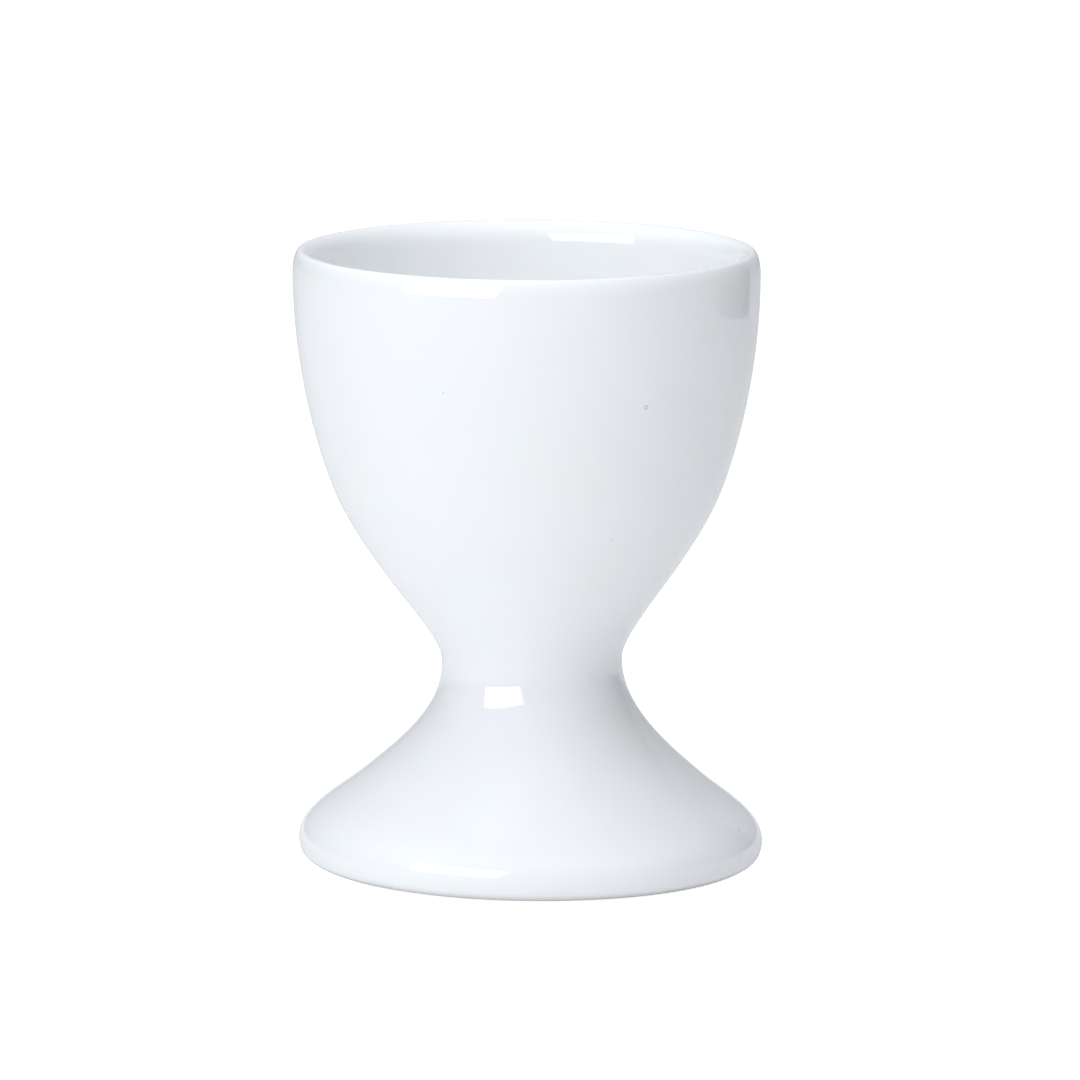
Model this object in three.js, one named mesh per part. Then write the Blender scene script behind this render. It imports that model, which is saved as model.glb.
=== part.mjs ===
// Footed egg cup in glazed white porcelain, built as the pottery builds it: a thrown bowl and a
// hollow flared foot, stuck together at the neck by a layer of slip before the firing.
// Millimetres, +Z up, origin at the middle of the foot ring, on the table.

import * as THREE from 'three';

// Driving dimensions.
const BOWL_DIAMETER = 50;
const CUP_HEIGHT = 66.34;
const FOOT_DIAMETER = 49.88;
const NECK_DIAMETER = 19.42;
const NECK_HEIGHT = 21.9;

// Heights and radii along the outside. A heading is the way the outline runs there, in degrees:
// 0 is straight up, 90 is outwards, -90 is inwards and 180 is straight down.
const FLANK = { r: 14.67, z: 30.36, heading: 36.4 };
const SHOULDER = { r: 20.98, z: 41, heading: 20.2 };
const RIM = { r: BOWL_DIAMETER / 2, z: CUP_HEIGHT - 1.74, heading: 0 };
const CREST = { r: RIM.r - 0.9, z: CUP_HEIGHT };
const SKIRT = { r: 18.35, z: 9.43, heading: -49.4 };
const FOOT_EDGE = { r: FOOT_DIAMETER / 2, z: 2.46, heading: 0 };
const TREAD_OUTER = { r: FOOT_EDGE.r - 2.95, z: 0, heading: 90 };

// Wall of the bowl and of the foot.
const LIP_THICKNESS = 2.5;
const LIP_DROP = 2.45;
const BOWL_WALL = 2.9;
const WELL_DEPTH = 36.75;
const FOOT_WALL = 3.2;
const TREAD_WIDTH = 1.9;
const TREAD_ROUNDING = 0.7;
const RECESS_HEIGHT = 12.5;

// Joint at the neck: the stem of the bowl ends in a short boss, which sits in a socket in the
// top of the foot, and a layer of slip fills the space between the two.
const SLIP_THICKNESS = 0.4;
const BOSS_RADIUS = 5;
const BOSS_LENGTH = 1.2;
const SOCKET_RADIUS = BOSS_RADIUS + SLIP_THICKNESS;
const NECK_TOP = { r: NECK_DIAMETER / 2, z: NECK_HEIGHT + SLIP_THICKNESS / 2, heading: 0 };
const NECK_BOTTOM = { r: NECK_DIAMETER / 2, z: NECK_HEIGHT - SLIP_THICKNESS / 2, heading: 0 };
const BOSS_Z = NECK_TOP.z - BOSS_LENGTH;
const SOCKET_Z = BOSS_Z - SLIP_THICKNESS;

// Fineness of the facets.
const SECTORS = 48;
const STEP_TURN = THREE.MathUtils.degToRad(10);
const STEP_LENGTH = 3.2;

const point = (r, z) => new THREE.Vector2(r, z);

const at = (station) => point(station.r, station.z);

function direction(heading) {
  const angle = THREE.MathUtils.degToRad(heading);
  return point(Math.sin(angle), Math.cos(angle));
}

// The place a wall's thickness inside an outer station, with the outline running back there.
function inset(station, thickness) {
  const inwards = direction(station.heading - 90);
  const place = at(station).addScaledVector(inwards, thickness);
  return { r: place.x, z: place.y, heading: station.heading + 180 };
}

const straight = (...places) => places.slice(1).map((end, i) => new THREE.LineCurve(places[i], end));

// A smooth stretch between two stations. The reaches are its handles, in millimetres: a longer
// one keeps the outline near that station's heading for longer.
function sweep(from, to, reachFrom, reachTo) {
  const leave = at(from).addScaledVector(direction(from.heading), reachFrom);
  const arrive = at(to).addScaledVector(direction(to.heading), -reachTo);
  return new THREE.CubicBezierCurve(at(from), leave, arrive, at(to));
}

// A quarter of an ellipse about (r, z), between two angles given in quarter turns.
function quarter(r, z, width, height, start, end) {
  const clockwise = end < start;
  const turn = Math.PI / 2;
  return new THREE.EllipseCurve(r, z, width, height, start * turn, end * turn, clockwise);
}

function stepsAlong(curve) {
  if (curve.isLineCurve) return 1;
  const turn = curve.getTangent(0).angleTo(curve.getTangent(1));
  return Math.ceil(Math.max(turn / STEP_TURN, curve.getLength() / STEP_LENGTH));
}

// Points along a run of curves, each of which starts where the last one ended.
function outline(curves) {
  const points = [curves[0].getPoint(0)];
  for (const curve of curves) {
    points.push(...curve.getPoints(stepsAlong(curve)).slice(1));
  }
  return points;
}

function spun(name, curves, material) {
  const geometry = new THREE.LatheGeometry(outline(curves), SECTORS);
  geometry.rotateX(Math.PI / 2);
  const mesh = new THREE.Mesh(geometry, material);
  mesh.name = name;
  return mesh;
}

const glaze = () => new THREE.MeshStandardMaterial({ color: 0xeef2fa, roughness: 0.08, metalness: 0 });

const bisque = () => new THREE.MeshStandardMaterial({ color: 0xefebe2, roughness: 0.75, metalness: 0 });

// Bowl: the egg well and, below it, the upper half of the stem with its boss.
function bowl() {
  const inner = { r: RIM.r - LIP_THICKNESS, z: CUP_HEIGHT - LIP_DROP, heading: 180 };
  const innerShoulder = inset(SHOULDER, BOWL_WALL);
  const wellFloor = { r: 0, z: CUP_HEIGHT - WELL_DEPTH, heading: -90 };
  return spun('bowl', [
    ...straight(point(0, BOSS_Z), point(BOSS_RADIUS, BOSS_Z), point(BOSS_RADIUS, NECK_TOP.z), at(NECK_TOP)),
    sweep(NECK_TOP, FLANK, 1.9, 3.94),
    sweep(FLANK, SHOULDER, 3.91, 3.9),
    sweep(SHOULDER, RIM, 7.8, 7.5),
    quarter(CREST.r, RIM.z, RIM.r - CREST.r, CREST.z - RIM.z, 0, 1),
    quarter(CREST.r, inner.z, CREST.r - inner.r, CREST.z - inner.z, 1, 2),
    sweep(inner, innerShoulder, 7.2, 7.4),
    sweep(innerShoulder, wellFloor, 8, 8.5),
  ], glaze());
}

// Foot: the lower half of the stem, flaring to a hollow skirt that stands on a narrow ring.
function foot() {
  const recessCrown = { r: 0, z: RECESS_HEIGHT, heading: 90 };
  const recessFlank = inset(SKIRT, FOOT_WALL);
  const treadInner = TREAD_OUTER.r - TREAD_WIDTH;
  const recessMouth = { r: treadInner - TREAD_ROUNDING, z: TREAD_ROUNDING, heading: 180 };
  return spun('foot', [
    sweep(recessCrown, recessFlank, 8, 5),
    sweep(recessFlank, recessMouth, 2.2, 2.2),
    quarter(treadInner, TREAD_ROUNDING, TREAD_ROUNDING, TREAD_ROUNDING, 2, 3),
    ...straight(point(treadInner, 0), at(TREAD_OUTER)),
    sweep(TREAD_OUTER, FOOT_EDGE, 0.52, 2.39),
    sweep(FOOT_EDGE, SKIRT, 2.75, 3.84),
    sweep(SKIRT, NECK_BOTTOM, 4.28, 5.23),
    ...straight(
      at(NECK_BOTTOM),
      point(SOCKET_RADIUS, NECK_BOTTOM.z),
      point(SOCKET_RADIUS, SOCKET_Z),
      point(0, SOCKET_Z),
    ),
  ], glaze());
}

// Slip: the layer of liquid clay that sticks the bowl to the foot, fired hard.
function slipJoint() {
  return spun('slip_joint', straight(
    point(0, SOCKET_Z),
    point(SOCKET_RADIUS, SOCKET_Z),
    point(SOCKET_RADIUS, NECK_BOTTOM.z),
    at(NECK_BOTTOM),
    at(NECK_TOP),
    point(BOSS_RADIUS, NECK_TOP.z),
    point(BOSS_RADIUS, BOSS_Z),
    point(0, BOSS_Z),
  ), bisque());
}

const eggCup = new THREE.Group();
eggCup.name = 'egg_cup';
eggCup.add(foot(), slipJoint(), bowl());

export default eggCup;
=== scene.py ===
"""Looks of a footed egg cup in glossy white porcelain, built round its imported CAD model.

The bowl, the foot and the slip between them are spun from smooth outlines. Their main sizes come
from the CAD boxes, so each piece lies where its CAD solid does. Outlines are in millimetres.
"""

import math
from collections import namedtuple

import bpy
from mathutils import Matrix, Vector, noise


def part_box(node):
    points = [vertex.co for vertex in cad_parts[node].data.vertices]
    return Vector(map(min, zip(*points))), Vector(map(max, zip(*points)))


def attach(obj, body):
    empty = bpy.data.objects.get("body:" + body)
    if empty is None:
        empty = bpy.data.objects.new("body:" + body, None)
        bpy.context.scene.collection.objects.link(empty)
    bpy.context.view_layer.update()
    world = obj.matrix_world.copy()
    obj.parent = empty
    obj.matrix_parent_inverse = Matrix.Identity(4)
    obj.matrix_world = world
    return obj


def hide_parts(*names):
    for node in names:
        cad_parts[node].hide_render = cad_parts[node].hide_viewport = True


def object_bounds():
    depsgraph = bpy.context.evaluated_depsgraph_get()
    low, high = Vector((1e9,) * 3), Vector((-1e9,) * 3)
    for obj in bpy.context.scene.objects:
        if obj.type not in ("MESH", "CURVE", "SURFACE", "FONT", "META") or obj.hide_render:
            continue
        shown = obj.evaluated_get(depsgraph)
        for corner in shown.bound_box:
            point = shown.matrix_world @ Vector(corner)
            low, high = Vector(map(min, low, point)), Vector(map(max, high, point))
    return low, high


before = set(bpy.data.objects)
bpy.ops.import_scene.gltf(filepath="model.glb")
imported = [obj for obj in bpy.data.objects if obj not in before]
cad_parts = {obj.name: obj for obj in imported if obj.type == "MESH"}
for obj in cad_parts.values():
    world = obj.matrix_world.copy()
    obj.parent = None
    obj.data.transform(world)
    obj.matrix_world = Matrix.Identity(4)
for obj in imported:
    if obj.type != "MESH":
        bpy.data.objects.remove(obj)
CAD_BOX = [list(corner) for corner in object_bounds()]
MM = 0.001

# Fineness of the spun surfaces.
SECTORS = 256
STEP_LENGTH = 0.45
STEP_TURN = math.radians(2.5)
SHARP_ANGLE = math.radians(35)

# A point nearer the axis than this lies on it.
ON_AXIS = 1e-6

# Walls, in millimetres, as in the CAD model.
LIP_THICKNESS = 2.5
LIP_DROP = 2.45
BOWL_WALL = 2.9
WELL_DEPTH = 36.75
FOOT_WALL = 3.2
TREAD_WIDTH = 1.9
TREAD_ROUNDING = 0.7
RECESS_HEIGHT = 12.5

# Glaze: where it stops above the table, how far it stands proud of the bare clay, and its bead.
# FACING_DOWN is the upright part of a normal that counts as facing the table.
GLAZE_LINE = 0.6
GLAZE_COAT = 0.1
GLAZE_BEAD = 0.05
BEAD_WIDTH = 0.45
FACING_DOWN = -0.95

# How far the real cup strays from a true round, in millimetres. Its waves fade out near the axis.
# The lip has a wave of its own, which dies away down the side.
OVAL = 0.06
OVAL_TURN = math.radians(25)
STEM_DRIFT = 0.46
STEM_DRIFT_HEIGHT = 16
STEM_DRIFT_SPREAD = 8
BOWL_DRIFT = -1.12
BOWL_LEAN = math.radians(0.48)
LEAN_START, LEAN_END = 12, 30
WAVE_LENGTH = 11
WAVE_DEPTH = 0.035
WAVE_FADE_RADIUS = 8
LIP_WAVE = 0.05
LIP_WAVE_REACH = 7
LIP_WAVE_RATE = 1.3

# Specks in the glaze: azimuth and height on the outside, and radius. Azimuth 0 faces the camera.
SPECKS = [
    (31.5, 52.6, 0.28),
    (-21, 54, 0.12),
    (70, 5.2, 0.2),
    (64, 2.8, 0.16),
    (27, 38, 0.13),
    (-118, 47, 0.2),
    (152, 12, 0.17),
    (196, 58, 0.14),
]
SPECK_GREY = (0.6, 0.6, 0.62)

# Sizes of the materials' patterns, in millimetres.
MOTTLE_SIZE = 9
RIPPLE_SIZE, RIPPLE_HEIGHT = 2.6, 0.02
CLOUD_SIZE = 6
GRIT_SIZE, GRIT_HEIGHT = 0.35, 0.12

GLAZE_WHITES = ((0.935, 0.948, 0.944), (0.948, 0.95, 0.962))
GLAZE_ROUGHNESS = (0.012, 0.03)
CLAY_TINTS = ((0.7, 0.67, 0.61), (0.82, 0.8, 0.75))

GLAZE, CLAY = 0, 1

# A place on an outline. The heading is the way the outline runs there, in degrees: 0 is straight
# up, 90 is outwards, -90 is inwards and 180 is straight down.
Station = namedtuple("Station", "r z heading")


# ---------------------------------------------------------------------------------------------
# Sizes from the frame
# ---------------------------------------------------------------------------------------------


def box_mm(node):
    """A CAD node's lowest and highest corner, in millimetres."""
    return tuple(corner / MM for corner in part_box(node))


BOWL_LOW, BOWL_HIGH = box_mm("bowl")
FOOT_LOW, FOOT_HIGH = box_mm("foot")
SLIP_LOW, SLIP_HIGH = box_mm("slip_joint")

CUP_HEIGHT = BOWL_HIGH.z
BOSS_RADIUS = 5
SOCKET_RADIUS = BOSS_RADIUS + BOWL_LOW.z - SLIP_LOW.z

NECK_TOP = Station(SLIP_HIGH.x, SLIP_HIGH.z, 0)
NECK_BOTTOM = Station(SLIP_HIGH.x, FOOT_HIGH.z, 0)
FLANK = Station(NECK_TOP.r + 4.96, NECK_TOP.z + 8.26, 36.4)
SHOULDER = Station(NECK_TOP.r + 11.27, NECK_TOP.z + 18.9, 20.2)
RIM = Station(BOWL_HIGH.x, CUP_HEIGHT - 2.4, 0)
CREST_RADIUS = RIM.r - 0.9
SKIRT = Station(FOOT_HIGH.x - 6.59, FOOT_LOW.z + 9.43, -49.4)
FOOT_EDGE = Station(FOOT_HIGH.x, FOOT_LOW.z + 2.46, 0)
TREAD_OUTER = Station(FOOT_EDGE.r - 2.95, FOOT_LOW.z, 90)


# ---------------------------------------------------------------------------------------------
# Outlines
# ---------------------------------------------------------------------------------------------


def direction(heading):
    """Unit step along a heading, as (r, z)."""
    angle = math.radians(heading)
    return Vector((math.sin(angle), math.cos(angle)))


def place(station):
    """A station's spot, as (r, z)."""
    return Vector((station.r, station.z))


def inset(station, thickness):
    """The station a wall's thickness inside an outer one, with the outline running back there."""
    inner = place(station) + direction(station.heading - 90) * thickness
    return Station(inner.x, inner.y, station.heading + 180)


def steps(length, turn):
    """How many steps a stretch takes, from its length and from how far it turns."""
    return max(2, math.ceil(length / STEP_LENGTH), math.ceil(abs(turn) / STEP_TURN))


def straight(start, end):
    """A straight stretch, split evenly."""
    count = math.ceil((end - start).length / STEP_LENGTH)
    return [start.lerp(end, i / count) for i in range(count + 1)]


def sweep(start, end, reach_start, reach_end):
    """A smooth stretch between two stations: a cubic curve with handles of the given reaches."""
    a, d = place(start), place(end)
    b = a + direction(start.heading) * reach_start
    c = d - direction(end.heading) * reach_end
    count = steps((d - a).length, math.radians(end.heading - start.heading))
    points = []
    for i in range(count + 1):
        t = i / count
        s = 1 - t
        points.append(a * s**3 + b * (3 * s * s * t) + c * (3 * s * t * t) + d * t**3)
    return points


def quarter(centre, width, height, start):
    """A quarter of an ellipse, anticlockwise from `start` quarter turns."""
    count = steps(max(width, height), math.pi / 2)
    points = []
    for i in range(count + 1):
        angle = (start + i / count) * math.pi / 2
        points.append(Vector((centre.x + width * math.cos(angle), centre.y + height * math.sin(angle))))
    return points


def bowl_outline():
    """The bowl from its boss, up the outside, over the lip and down to the floor of the well."""
    boss_z = BOWL_LOW.z
    inner = Station(RIM.r - LIP_THICKNESS, CUP_HEIGHT - LIP_DROP, 180)
    inner_shoulder = inset(SHOULDER, BOWL_WALL)
    well_floor = Station(0, CUP_HEIGHT - WELL_DEPTH, -90)
    lip_outer = Vector((CREST_RADIUS, RIM.z))
    lip_inner = Vector((CREST_RADIUS, inner.z))
    return [
        (CLAY, straight(Vector((0, boss_z)), Vector((BOSS_RADIUS, boss_z)))),
        (CLAY, straight(Vector((BOSS_RADIUS, boss_z)), Vector((BOSS_RADIUS, NECK_TOP.z)))),
        (CLAY, straight(Vector((BOSS_RADIUS, NECK_TOP.z)), place(NECK_TOP))),
        (GLAZE, sweep(NECK_TOP, FLANK, 1.9, 3.94)),
        (GLAZE, sweep(FLANK, SHOULDER, 3.91, 3.9)),
        (GLAZE, sweep(SHOULDER, RIM, 7.8, 7.5)),
        (GLAZE, quarter(lip_outer, RIM.r - CREST_RADIUS, CUP_HEIGHT - RIM.z, 0)),
        (GLAZE, quarter(lip_inner, CREST_RADIUS - inner.r, CUP_HEIGHT - inner.z, 1)),
        (GLAZE, sweep(inner, inner_shoulder, 7.2, 7.4)),
        (GLAZE, sweep(inner_shoulder, well_floor, 8, 8.5)),
    ]


def foot_outline():
    """The foot from the crown of its recess, round the ring and up the outside to its socket."""
    crown = Station(0, RECESS_HEIGHT, 90)
    recess_flank = inset(SKIRT, FOOT_WALL)
    tread_inner = TREAD_OUTER.r - TREAD_WIDTH
    mouth = Station(tread_inner - TREAD_ROUNDING, TREAD_ROUNDING, 180)
    rounding = Vector((tread_inner, TREAD_ROUNDING))
    socket_z = SLIP_LOW.z
    return [
        (GLAZE, sweep(crown, recess_flank, 8, 5)),
        (GLAZE, sweep(recess_flank, mouth, 2.2, 2.2)),
        (CLAY, quarter(rounding, TREAD_ROUNDING, TREAD_ROUNDING, 2)),
        (CLAY, straight(Vector((tread_inner, 0)), place(TREAD_OUTER))),
        (GLAZE, sweep(TREAD_OUTER, FOOT_EDGE, 0.52, 2.39)),
        (GLAZE, sweep(FOOT_EDGE, SKIRT, 2.75, 3.84)),
        (GLAZE, sweep(SKIRT, NECK_BOTTOM, 4.28, 5.23)),
        (CLAY, straight(place(NECK_BOTTOM), Vector((SOCKET_RADIUS, NECK_BOTTOM.z)))),
        (CLAY, straight(Vector((SOCKET_RADIUS, NECK_BOTTOM.z)), Vector((SOCKET_RADIUS, socket_z)))),
        (CLAY, straight(Vector((SOCKET_RADIUS, socket_z)), Vector((0, socket_z)))),
    ]


def slip_outline():
    """The slip: a thin cup between boss and socket, with a flange out to the neck."""
    corners = [
        Vector((0, SLIP_LOW.z)),
        Vector((SOCKET_RADIUS, SLIP_LOW.z)),
        Vector((SOCKET_RADIUS, NECK_BOTTOM.z)),
        place(NECK_BOTTOM),
        place(NECK_TOP),
        Vector((BOSS_RADIUS, NECK_TOP.z)),
        Vector((BOSS_RADIUS, BOWL_LOW.z)),
        Vector((0, BOWL_LOW.z)),
    ]
    runs = []
    for start, end in zip(corners, corners[1:]):
        outside = start.x == end.x == NECK_TOP.r
        runs.append((GLAZE if outside else CLAY, straight(start, end)))
    return runs


# ---------------------------------------------------------------------------------------------
# Spun meshes
# ---------------------------------------------------------------------------------------------


def smoothstep(low, high, value):
    """Rises smoothly from 0 at `low` to 1 at `high`."""
    t = min(1, max(0, (value - low) / (high - low)))
    return t * t * (3 - 2 * t)


def glaze_edge(point, normal):
    """Steps the bare ring back from the glaze, and gives the glaze a soft bead where it ends.

    What faces down, such as the sole of the ring, stays where it is.
    """
    if normal.y < FACING_DOWN or point.y > GLAZE_LINE + 3 * BEAD_WIDTH:
        return point
    sideways = Vector((normal.x, max(0, normal.y)))
    above = (point.y - GLAZE_LINE) / BEAD_WIDTH
    bead = GLAZE_BEAD * math.exp(-((above - 1) ** 2))
    bare = GLAZE_COAT * (1 - smoothstep(-0.5, 0.5, above)) * smoothstep(0, 0.2, point.y)
    return point + sideways * (bead - bare)


def outline_normals(points):
    """Outward normals of an outline, from its neighbours on both sides."""
    normals = []
    last = len(points) - 1
    for i in range(len(points)):
        run = points[min(i + 1, last)] - points[max(i - 1, 0)]
        normals.append(Vector((run.y, -run.x)).normalized())
    return normals


def joined(runs):
    """One outline from its runs: the points, and the coat of the stretch after each of them."""
    points, coats = [], []
    for coat, run in runs:
        if points:
            points.pop()
        points += run
        coats += [coat] * (len(run) - 1)
    return points, coats


def drift(z):
    """How far the cup's middle lies off its axis at a height: the bowl was stuck on by hand."""
    stem = STEM_DRIFT * math.exp(-((z - STEM_DRIFT_HEIGHT) ** 2) / (2 * STEM_DRIFT_SPREAD**2))
    return stem + BOWL_DRIFT * z / CUP_HEIGHT


def lean(z):
    """How far the cup's cross-sections tilt at a height. The foot stands flat."""
    return BOWL_LEAN * smoothstep(LEAN_START, LEAN_END, z)


def hand_made(point, angle):
    """A point of the outline, turned to an angle, with the small faults of a real cast cup."""
    r, z = point
    spot = Vector((r * math.cos(angle), r * math.sin(angle), z))
    wave = WAVE_DEPTH * noise.noise(spot / WAVE_LENGTH) * smoothstep(0, WAVE_FADE_RADIUS, r)
    oval = OVAL * math.sin(angle - OVAL_TURN) ** 2 * smoothstep(SHOULDER.z, RIM.z, z)
    around = Vector((math.cos(angle), math.sin(angle), 0)) * LIP_WAVE_RATE
    lip = LIP_WAVE * noise.noise(around) * smoothstep(CUP_HEIGHT - LIP_WAVE_REACH, CUP_HEIGHT, z)
    radius = max(0, r + wave - oval)
    x, y = radius * math.cos(angle), radius * math.sin(angle)
    return Vector((x + drift(z), y, z + lip + x * math.sin(lean(z)))) * MM


def outside_at(outlines, azimuth, z):
    """The spot on the cup's outside at an azimuth and a height."""
    points = [point for runs in outlines.values() for point in joined(runs)[0]]
    level = [point for point in points if abs(point.y - z) < STEP_LENGTH]
    outermost = max(point.x for point in level)
    outside = [point for point in level if point.x > outermost - BOWL_WALL / 2]
    nearest = min(outside, key=lambda point: abs(point.y - z))
    return hand_made(nearest, math.radians(azimuth - 90)) / MM


def spun_vertices(outline):
    """Vertices of the spun outline, and each of its points' ring of vertex numbers."""
    vertices, rings = [], []
    for point in outline:
        start = len(vertices)
        if point.x < ON_AXIS:
            vertices.append(hand_made(point, 0))
            rings.append([start] * SECTORS)
            continue
        for sector in range(SECTORS):
            vertices.append(hand_made(point, sector * math.tau / SECTORS))
        rings.append(list(range(start, start + SECTORS)))
    return vertices, rings


def spun_faces(rings, coats):
    """Faces between neighbouring rings, and the coat of each face."""
    faces, face_coats = [], []
    for lower, upper, coat in zip(rings, rings[1:], coats):
        for sector in range(SECTORS):
            after = (sector + 1) % SECTORS
            corners = [lower[sector], lower[after], upper[after], upper[sector]]
            faces.append(list(dict.fromkeys(corners)))
            face_coats.append(coat)
    return faces, face_coats


def spin(name, runs, materials):
    """A closed mesh spun round the axis from an outline that starts and ends on it."""
    outline, coats = joined(runs)
    normals = outline_normals(outline)
    outline = [glaze_edge(point, normal) for point, normal in zip(outline, normals)]
    vertices, rings = spun_vertices(outline)
    faces, face_coats = spun_faces(rings, coats)
    mesh = bpy.data.meshes.new(name)
    mesh.from_pydata(vertices, [], faces)
    mesh.polygons.foreach_set("material_index", face_coats)
    mesh.polygons.foreach_set("use_smooth", [True] * len(faces))
    mesh.set_sharp_from_angle(angle=SHARP_ANGLE)
    for material in materials:
        mesh.materials.append(material)
    piece = bpy.data.objects.new(name, mesh)
    bpy.context.scene.collection.objects.link(piece)
    return piece


# ---------------------------------------------------------------------------------------------
# Materials
# ---------------------------------------------------------------------------------------------


def new_material(name):
    material = bpy.data.materials.new(name)
    material.use_nodes = True
    nodes, links = material.node_tree.nodes, material.node_tree.links
    return material, nodes, links, nodes["Principled BSDF"]


def millimetres(nodes, links):
    """Coordinates on the object, in millimetres."""
    coordinates = nodes.new("ShaderNodeTexCoord")
    scaled = nodes.new("ShaderNodeVectorMath")
    scaled.operation = "SCALE"
    scaled.inputs["Scale"].default_value = 1 / MM
    links.new(coordinates.outputs["Object"], scaled.inputs[0])
    return scaled.outputs[0]


def noise_at(nodes, links, vector, wavelength, detail=2.0):
    texture = nodes.new("ShaderNodeTexNoise")
    texture.inputs["Scale"].default_value = 1 / wavelength
    texture.inputs["Detail"].default_value = detail
    links.new(vector, texture.inputs["Vector"])
    return texture.outputs["Fac"]


def calculated(nodes, links, operation, *values):
    """One step of arithmetic on numbers or sockets."""
    step = nodes.new("ShaderNodeMath")
    step.operation = operation
    for socket, value in zip(step.inputs, values):
        if isinstance(value, (int, float)):
            socket.default_value = value
        else:
            links.new(value, socket)
    return step.outputs["Value"]


def ranged(nodes, links, value, low, high, to_low, to_high):
    """Maps a value from one range to another, held at both ends."""
    mapped = nodes.new("ShaderNodeMapRange")
    mapped.inputs["From Min"].default_value = low
    mapped.inputs["From Max"].default_value = high
    mapped.inputs["To Min"].default_value = to_low
    mapped.inputs["To Max"].default_value = to_high
    links.new(value, mapped.inputs["Value"])
    return mapped.outputs["Result"]


def blended(nodes, links, factor, first, second):
    """Mixes two colours by a factor. Each is a colour or a socket."""
    mix = nodes.new("ShaderNodeMix")
    mix.data_type = "RGBA"
    links.new(factor, mix.inputs["Factor"])
    for socket, colour in ((mix.inputs["A"], first), (mix.inputs["B"], second)):
        if isinstance(colour, tuple):
            socket.default_value = (*colour, 1)
        else:
            links.new(colour, socket)
    return mix.outputs["Result"]


def bumped(nodes, links, height, distance, strength):
    bump = nodes.new("ShaderNodeBump")
    bump.inputs["Distance"].default_value = distance * MM
    bump.inputs["Strength"].default_value = strength
    links.new(height, bump.inputs["Height"])
    return bump.outputs["Normal"]


def speck(nodes, links, spot, colour, centre, radius):
    """A tiny bubble burst in the glaze: a dark ring round a paler middle."""
    apart = nodes.new("ShaderNodeVectorMath")
    apart.operation = "DISTANCE"
    apart.inputs[1].default_value = centre
    links.new(spot, apart.inputs[0])
    distance = apart.outputs["Value"]
    inner = ranged(nodes, links, distance, 0.3 * radius, 0.7 * radius, 0, 1)
    outer = ranged(nodes, links, distance, 0.75 * radius, radius, 1, 0)
    ring = calculated(nodes, links, "MULTIPLY", inner, outer)
    return blended(nodes, links, ring, colour, SPECK_GREY)


def glaze_material(specks):
    """Clear glaze over white porcelain: cool white, glossy, faintly rippled, with a few specks."""
    material, nodes, links, shader = new_material("porcelain_glaze")
    spot = millimetres(nodes, links)
    mottle = ranged(nodes, links, noise_at(nodes, links, spot, MOTTLE_SIZE), 0.35, 0.65, 0, 1)
    white = blended(nodes, links, mottle, *GLAZE_WHITES)
    for centre, radius in specks:
        white = speck(nodes, links, spot, white, centre, radius)
    links.new(white, shader.inputs["Base Color"])
    ripple = noise_at(nodes, links, spot, RIPPLE_SIZE)
    links.new(bumped(nodes, links, ripple, RIPPLE_HEIGHT, 0.3), shader.inputs["Normal"])
    cloud = noise_at(nodes, links, spot, CLOUD_SIZE)
    roughness = ranged(nodes, links, cloud, 0.3, 0.7, *GLAZE_ROUGHNESS)
    links.new(roughness, shader.inputs["Roughness"])
    shader.inputs["IOR"].default_value = 1.5
    return material


def clay_material():
    """Bare fired porcelain: chalky, warm white and finely gritty."""
    material, nodes, links, shader = new_material("bare_porcelain")
    spot = millimetres(nodes, links)
    grit = noise_at(nodes, links, spot, GRIT_SIZE, detail=4)
    tint = ranged(nodes, links, grit, 0.35, 0.7, 0, 1)
    links.new(blended(nodes, links, tint, *CLAY_TINTS), shader.inputs["Base Color"])
    links.new(bumped(nodes, links, grit, GRIT_HEIGHT, 0.6), shader.inputs["Normal"])
    shader.inputs["Roughness"].default_value = 0.82
    return material


# ---------------------------------------------------------------------------------------------
# Studio
# ---------------------------------------------------------------------------------------------

CAMERA_DISTANCE = 1.0806
CAMERA_ELEVATION = 9.5
CAMERA_LENS = 336.1
CAMERA_ROLL = math.radians(0.7)
AIM_OFFSET = Vector((0.0007, 0, 0.00173))

# The floor: its size, how far below the cup it lies, its colour, how much it glows for the cup,
# and how much it and the walls glow for the camera.
FLOOR_RADIUS = 60
FLOOR_SIDES = 64
FLOOR_GAP = 0.05 * MM
FLOOR_WHITE = (0.8, 0.8, 0.8)
FLOOR_GLOW = 0.1
FLOOR_BURN = 0.8
WALL_BURN = 1.2

# Studio light. Azimuths and elevations are in degrees, as seen from the cup. A lobe is a wide
# soft patch of light on the walls, and has an azimuth, an elevation and a radiance.
LIGHT_COLOUR = (0.95, 0.98, 1.02)
AMBIENT = 0.135
LOBES = [
    (-37, 15, 0.12),
    (15, 10, 0.06),
    (55, 10, 0.34),
    (180, 10, 0.43),
    (-70, 50, 0.34),
    (15, 55, 0.37),
]
LOBE_POWER = 4

SOFTBOX_AZIMUTH, SOFTBOX_ELEVATION = -37.5, 17
SOFTBOX_DISTANCE = 0.9
SOFTBOX_WIDTH, SOFTBOX_HEIGHT = 0.78, 0.45
SOFTBOX_RADIANCE = 2.73
GLINT_DISTANCE = 0.87
GLINT_RADIANCE = 2.5

OVERHEAD_DISTANCE = 0.57
OVERHEAD_SIZE = 0.6
OVERHEAD_RADIANCE = 1.95

CARD_AZIMUTH = 123
CARD_DISTANCE = 0.36
CARD_WIDTH = 0.22
CARD_HEIGHT = 0.24


def towards(azimuth, elevation):
    """Unit vector out from the cup. Azimuth 0 is towards the camera and 90 towards +X."""
    a, e = math.radians(azimuth), math.radians(elevation)
    return Vector((math.sin(a) * math.cos(e), -math.cos(a) * math.cos(e), math.sin(e)))


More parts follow.
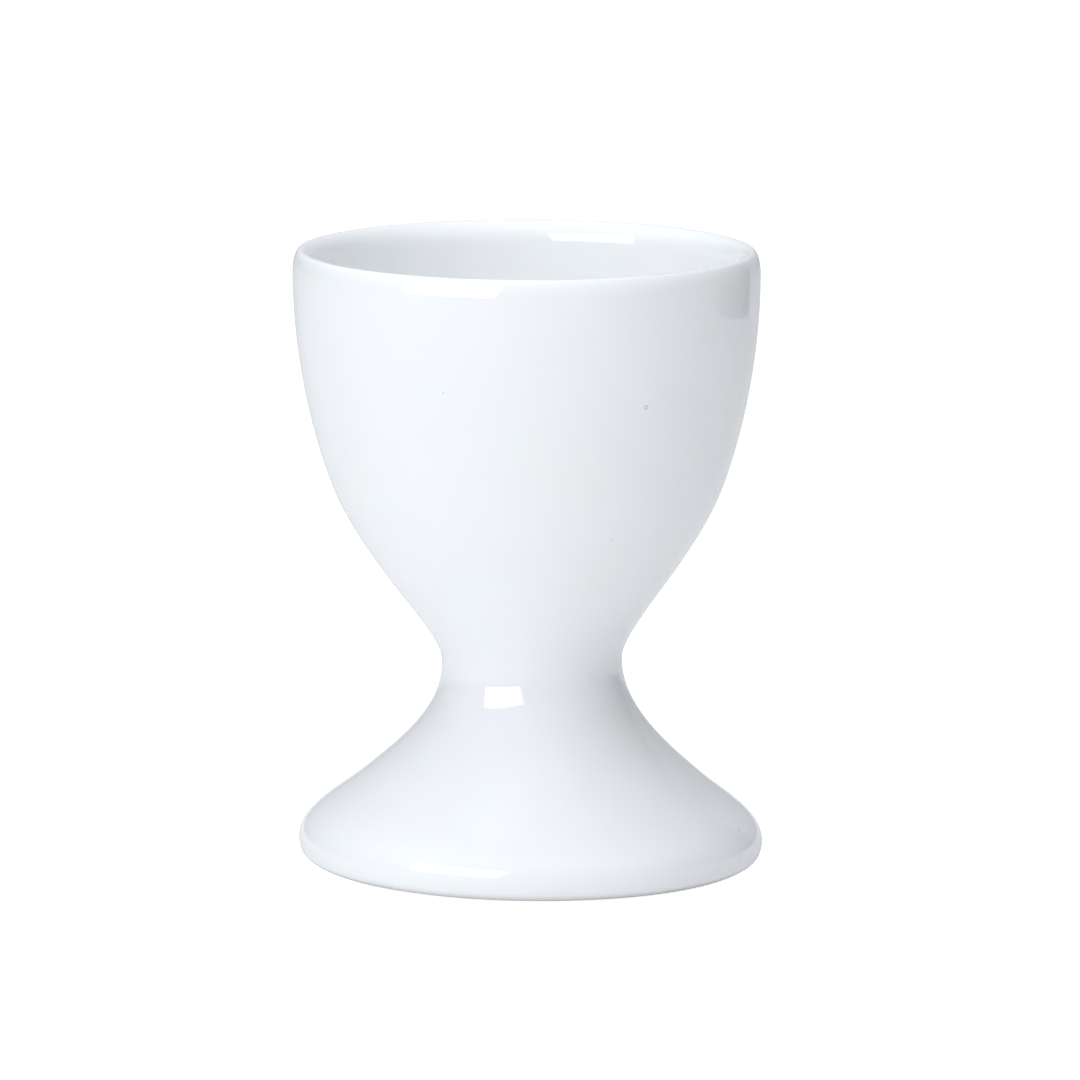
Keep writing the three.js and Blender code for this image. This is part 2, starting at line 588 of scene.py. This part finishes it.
def middle():
    """The middle of the cup's box."""
    low, high = (Vector(corner) for corner in CAD_BOX)
    return (low + high) / 2


def make_camera():
    data = bpy.data.cameras.new("camera")
    data.lens = CAMERA_LENS
    data.sensor_width = 36
    data.clip_start, data.clip_end = 0.1, 200
    camera = bpy.data.objects.new("camera", data)
    out = towards(0, CAMERA_ELEVATION)
    camera.location = middle() + out * CAMERA_DISTANCE
    aim = middle() + AIM_OFFSET
    camera.rotation_euler = (aim - camera.location).to_track_quat("-Z", "Y").to_euler()
    camera.rotation_euler.rotate_axis("Z", CAMERA_ROLL)
    bpy.context.scene.collection.objects.link(camera)
    bpy.context.scene.camera = camera


def area_light(name, azimuth, elevation, distance, width, height, radiance):
    """A rectangular light that faces the cup, with its radiance given instead of its power."""
    data = bpy.data.lights.new(name, "AREA")
    data.shape = "RECTANGLE"
    data.size, data.size_y = width, height
    data.energy = radiance * math.pi * width * height
    data.color = LIGHT_COLOUR
    light = bpy.data.objects.new(name, data)
    out = towards(azimuth, elevation)
    light.location = middle() + out * distance
    light.rotation_euler = (-out).to_track_quat("-Z", "Y").to_euler()
    light.visible_camera = False
    bpy.context.scene.collection.objects.link(light)
    return light


def make_floor():
    """White paper. The camera sees it burnt out, as behind a product picture; the cup doesn't."""
    mesh = bpy.data.meshes.new("floor")
    rim = [towards(i * 360 / FLOOR_SIDES, 0) * FLOOR_RADIUS for i in range(FLOOR_SIDES)]
    mesh.from_pydata(rim, [], [list(range(FLOOR_SIDES))])
    material, nodes, links, shader = new_material("floor_paper")
    path = nodes.new("ShaderNodeLightPath")
    shader.inputs["Base Color"].default_value = (*FLOOR_WHITE, 1)
    shader.inputs["Emission Color"].default_value = (1, 1, 1, 1)
    glow = ranged(nodes, links, path.outputs["Is Camera Ray"], 0, 1, FLOOR_GLOW, FLOOR_BURN)
    links.new(glow, shader.inputs["Emission Strength"])
    shader.inputs["Roughness"].default_value = 0.9
    shader.inputs["Specular IOR Level"].default_value = 0
    mesh.materials.append(material)
    floor = bpy.data.objects.new("floor", mesh)
    floor.location.z = -FLOOR_GAP
    bpy.context.scene.collection.objects.link(floor)


def make_dark_card():
    """A black card that stands behind the cup on its right, and shows as dark patches in the gloss."""
    mesh = bpy.data.meshes.new("dark_card")
    foot = towards(CARD_AZIMUTH, 0) * CARD_DISTANCE
    side = towards(CARD_AZIMUTH + 90, 0) * CARD_WIDTH / 2
    top = Vector((0, 0, CARD_HEIGHT))
    corners = [foot - side, foot + side, foot + side + top, foot - side + top]
    mesh.from_pydata(corners, [], [[0, 1, 2, 3]])
    material, _, _, shader = new_material("black_card")
    shader.inputs["Base Color"].default_value = (0.02, 0.02, 0.022, 1)
    shader.inputs["Roughness"].default_value = 0.9
    mesh.materials.append(material)
    card = bpy.data.objects.new("dark_card", mesh)
    card.visible_camera = False
    bpy.context.scene.collection.objects.link(card)


def lobe(nodes, links, sky, azimuth, elevation, radiance):
    """A wide soft patch of light on the sky."""
    facing = nodes.new("ShaderNodeVectorMath")
    facing.operation = "DOT_PRODUCT"
    facing.inputs[1].default_value = towards(azimuth, elevation)
    links.new(sky, facing.inputs[0])
    front = calculated(nodes, links, "MAXIMUM", facing.outputs["Value"], 0)
    spread = calculated(nodes, links, "POWER", front, LOBE_POWER)
    return calculated(nodes, links, "MULTIPLY", spread, radiance)


def make_world():
    """White walls round the cup, brighter where the fill lights are. The camera sees them burnt out."""
    world = bpy.data.worlds.new("studio")
    world.use_nodes = True
    nodes, links = world.node_tree.nodes, world.node_tree.links
    sky = nodes.new("ShaderNodeTexCoord").outputs["Generated"]
    radiance = AMBIENT
    for azimuth, elevation, strength in LOBES:
        patch = lobe(nodes, links, sky, azimuth, elevation, strength)
        radiance = calculated(nodes, links, "ADD", patch, radiance)
    seen = nodes.new("ShaderNodeLightPath").outputs["Is Camera Ray"]
    burn = calculated(nodes, links, "MULTIPLY", seen, WALL_BURN)
    radiance = calculated(nodes, links, "MAXIMUM", radiance, burn)
    links.new(radiance, nodes["Background"].inputs["Strength"])
    nodes["Background"].inputs["Color"].default_value = (*LIGHT_COLOUR, 1)
    bpy.context.scene.world = world


def make_softbox():
    """The main light, and its glint: a second light just in front of it that only gloss shows."""
    where = (SOFTBOX_AZIMUTH, SOFTBOX_ELEVATION)
    area_light("softbox", *where, SOFTBOX_DISTANCE, SOFTBOX_WIDTH, SOFTBOX_HEIGHT, SOFTBOX_RADIANCE)
    nearer = GLINT_DISTANCE / SOFTBOX_DISTANCE
    width, height = SOFTBOX_WIDTH * nearer, SOFTBOX_HEIGHT * nearer
    glint = area_light("softbox_glint", *where, GLINT_DISTANCE, width, height, GLINT_RADIANCE)
    glint.visible_diffuse = False


def make_overhead():
    """A soft light straight above, which gloss doesn't show."""
    light = area_light(
        "overhead", 0, 90, OVERHEAD_DISTANCE, OVERHEAD_SIZE, OVERHEAD_SIZE, OVERHEAD_RADIANCE
    )
    light.visible_glossy = False


def make_studio():
    make_camera()
    make_floor()
    make_dark_card()
    make_world()
    make_softbox()
    make_overhead()
    bpy.context.scene.view_settings.view_transform = "Standard"


# ---------------------------------------------------------------------------------------------
# The cup
# ---------------------------------------------------------------------------------------------


def make_cup():
    outlines = {"bowl": bowl_outline(), "foot": foot_outline(), "slip_joint": slip_outline()}
    specks = [(outside_at(outlines, azimuth, z), radius) for azimuth, z, radius in SPECKS]
    coats = [glaze_material(specks), clay_material()]
    for node, runs in outlines.items():
        piece = spin(f"{node}_fine", runs, coats)
        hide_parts(node)
        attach(piece, "root")


make_studio()
make_cup()
